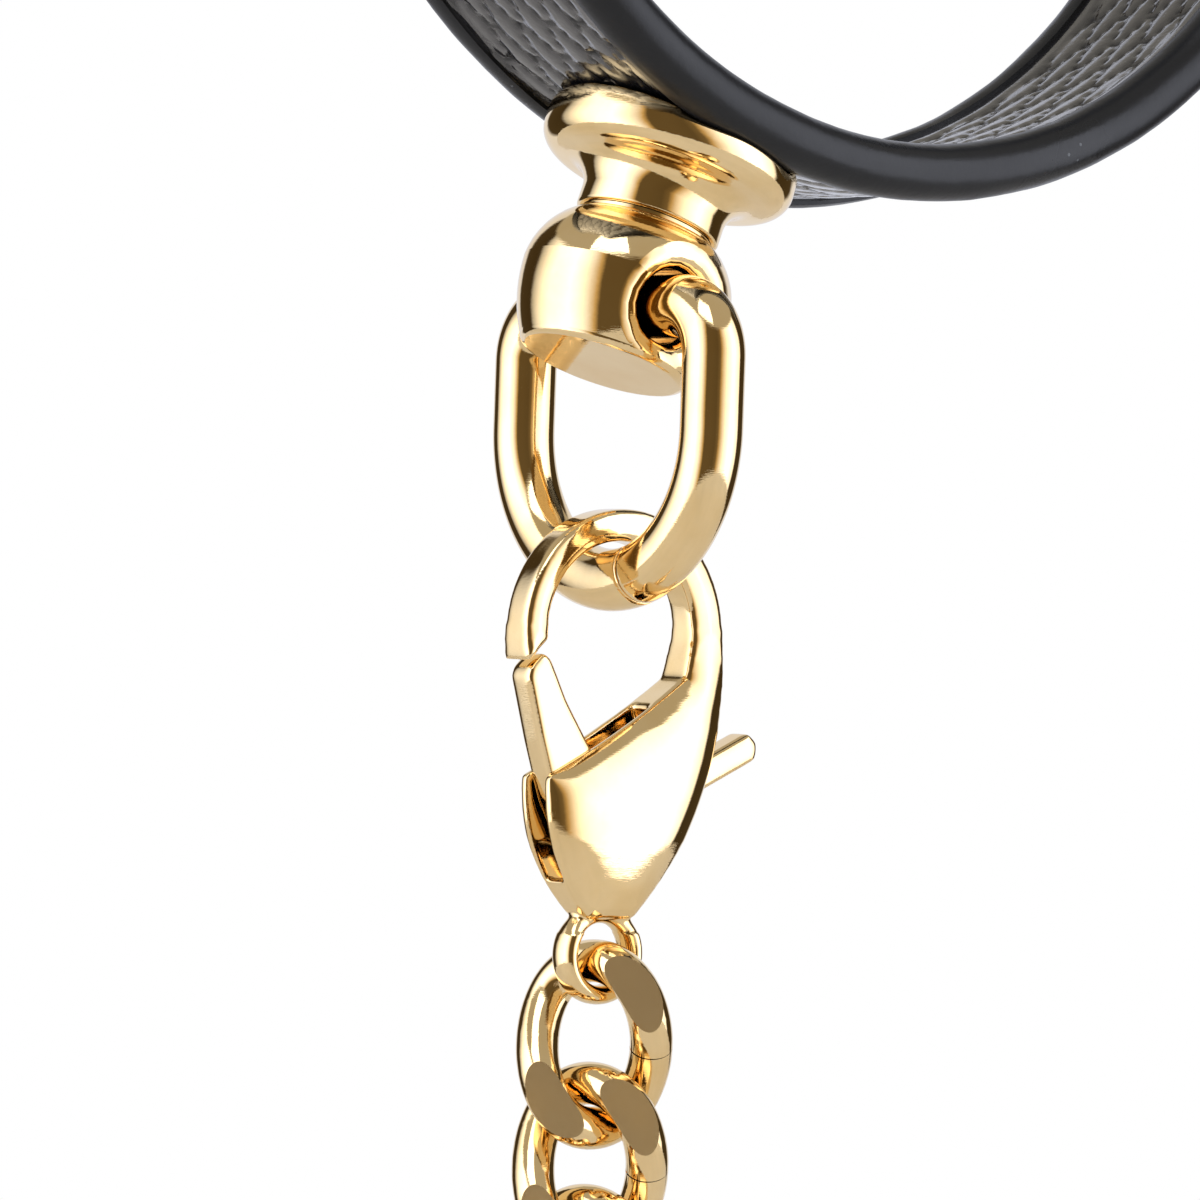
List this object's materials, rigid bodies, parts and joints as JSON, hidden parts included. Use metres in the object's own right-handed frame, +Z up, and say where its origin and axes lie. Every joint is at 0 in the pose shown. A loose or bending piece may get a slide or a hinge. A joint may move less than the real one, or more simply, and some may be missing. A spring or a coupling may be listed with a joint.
{
  "type": "wristlet keychain",
  "caption": "Leather wrist loop with a gold swivel stud, D-ring, lobster clasp and curb chain that ends in a split key ring.",
  "frame": {"origin": "centre of the wrist loop, on the loop's axis and half way across its width", "axes": "+Z up as it hangs, +Y along the loop axis away from the viewer of its front edge, chain hangs towards -Z"},
  "size_m": [0.0724, 0.0254, 0.1992],
  "materials": {
    "black_embossed_leather": "glossy, embossed with elongated overlapping scales",
    "black_lining": "glossy, lightly embossed",
    "edge_coat": "smooth satin edge paint over a rolled bead",
    "stiffener": "matt fibre board",
    "steel": "plain drawn steel",
    "polished_gold": "mirror polished light gold plating"
  },
  "bodies": {
    "wrist_band": {"outer_leather": "black_embossed_leather", "lining_leather": "black_lining", "band_core": "stiffener", "front_edge_binding": "edge_coat", "rear_edge_binding": "edge_coat", "backing_plate": "steel", "fixing_screws": "steel", "stud_base": "polished_gold"},
    "swivel": {"swivel_barrel": "polished_gold", "swivel_rivet": "steel", "swivel_washer": "polished_gold"},
    "ring": {"d_ring": "polished_gold"},
    "clasp": {"clasp_body": "polished_gold", "gate_pin": "polished_gold", "gate_spring": "steel"},
    "gate": {"gate_lever": "polished_gold"},
    "link_01": {"chain_link_01": "polished_gold"},
    "link_02": {"chain_link_02": "polished_gold"},
    "link_03": {"chain_link_03": "polished_gold"},
    "link_04": {"chain_link_04": "polished_gold"},
    "link_05": {"chain_link_05": "polished_gold"},
    "link_06": {"chain_link_06": "polished_gold"},
    "link_07": {"chain_link_07": "polished_gold"},
    "link_08": {"chain_link_08": "polished_gold"},
    "key_ring_body": {"key_ring": "polished_gold"}
  },
  "joints": [
    {"name": "swivel_turn", "type": "hinge", "parent": "wrist_band", "child": "swivel", "pos_m": [-0.01577, 0, -0.04332], "axis": [0.342, 0, 0.9397], "continuous": true},
    {"name": "ring_swing", "type": "hinge", "parent": "swivel", "child": "ring", "pos_m": [-0.01577, 0, -0.04332], "axis": [0, 1, 0], "range_deg": [-70, 80]},
    {"name": "clasp_swing", "type": "hinge", "parent": "ring", "child": "clasp", "pos_m": [-0.01577, 0, -0.05912], "axis": [0, -1, 0], "range_deg": [-60, 60]},
    {"name": "gate_pivot", "type": "hinge", "parent": "clasp", "child": "gate", "pos_m": [-0.01677, 0, -0.07312], "axis": [0, 1, 0], "range_deg": [0, 22], "stiffness_Nm_per_rad": 0.02, "springref_deg": -17.19, "deforming": ["gate_spring"]},
    {"name": "link_01_swing", "type": "hinge", "parent": "clasp", "child": "link_01", "pos_m": [-0.01577, 0, -0.08122], "axis": [0.1689, -0.9856, 0], "range_deg": [-20, 20]},
    {"name": "link_02_swing", "type": "hinge", "parent": "link_01", "child": "link_02", "pos_m": [-0.01577, 0, -0.09092], "axis": [0.9972, 0.0745, 0], "range_deg": [-20, 20]},
    {"name": "link_03_swing", "type": "hinge", "parent": "link_02", "child": "link_03", "pos_m": [-0.01577, 0, -0.09542], "axis": [-0.1689, 0.9856, 0], "range_deg": [-20, 20]},
    {"name": "link_04_swing", "type": "hinge", "parent": "link_03", "child": "link_04", "pos_m": [-0.01577, 0, -0.10512], "axis": [-0.9972, -0.0745, 0], "range_deg": [-20, 20]},
    {"name": "link_05_swing", "type": "hinge", "parent": "link_04", "child": "link_05", "pos_m": [-0.01577, 0, -0.10962], "axis": [0.1689, -0.9856, 0], "range_deg": [-20, 20]},
    {"name": "link_06_swing", "type": "hinge", "parent": "link_05", "child": "link_06", "pos_m": [-0.01577, 0, -0.11932], "axis": [0.9972, 0.0745, 0], "range_deg": [-20, 20]},
    {"name": "link_07_swing", "type": "hinge", "parent": "link_06", "child": "link_07", "pos_m": [-0.01577, 0, -0.12382], "axis": [-0.1689, 0.9856, 0], "range_deg": [-20, 20]},
    {"name": "link_08_swing", "type": "hinge", "parent": "link_07", "child": "link_08", "pos_m": [-0.01577, 0, -0.13352], "axis": [-0.9972, -0.0745, 0], "range_deg": [-20, 20]},
    {"name": "key_ring_swing", "type": "hinge", "parent": "link_08", "child": "key_ring_body", "pos_m": [-0.01577, 0, -0.14062], "axis": [0.9972, 0.0745, 0], "range_deg": [-25, 25]}
  ]
}
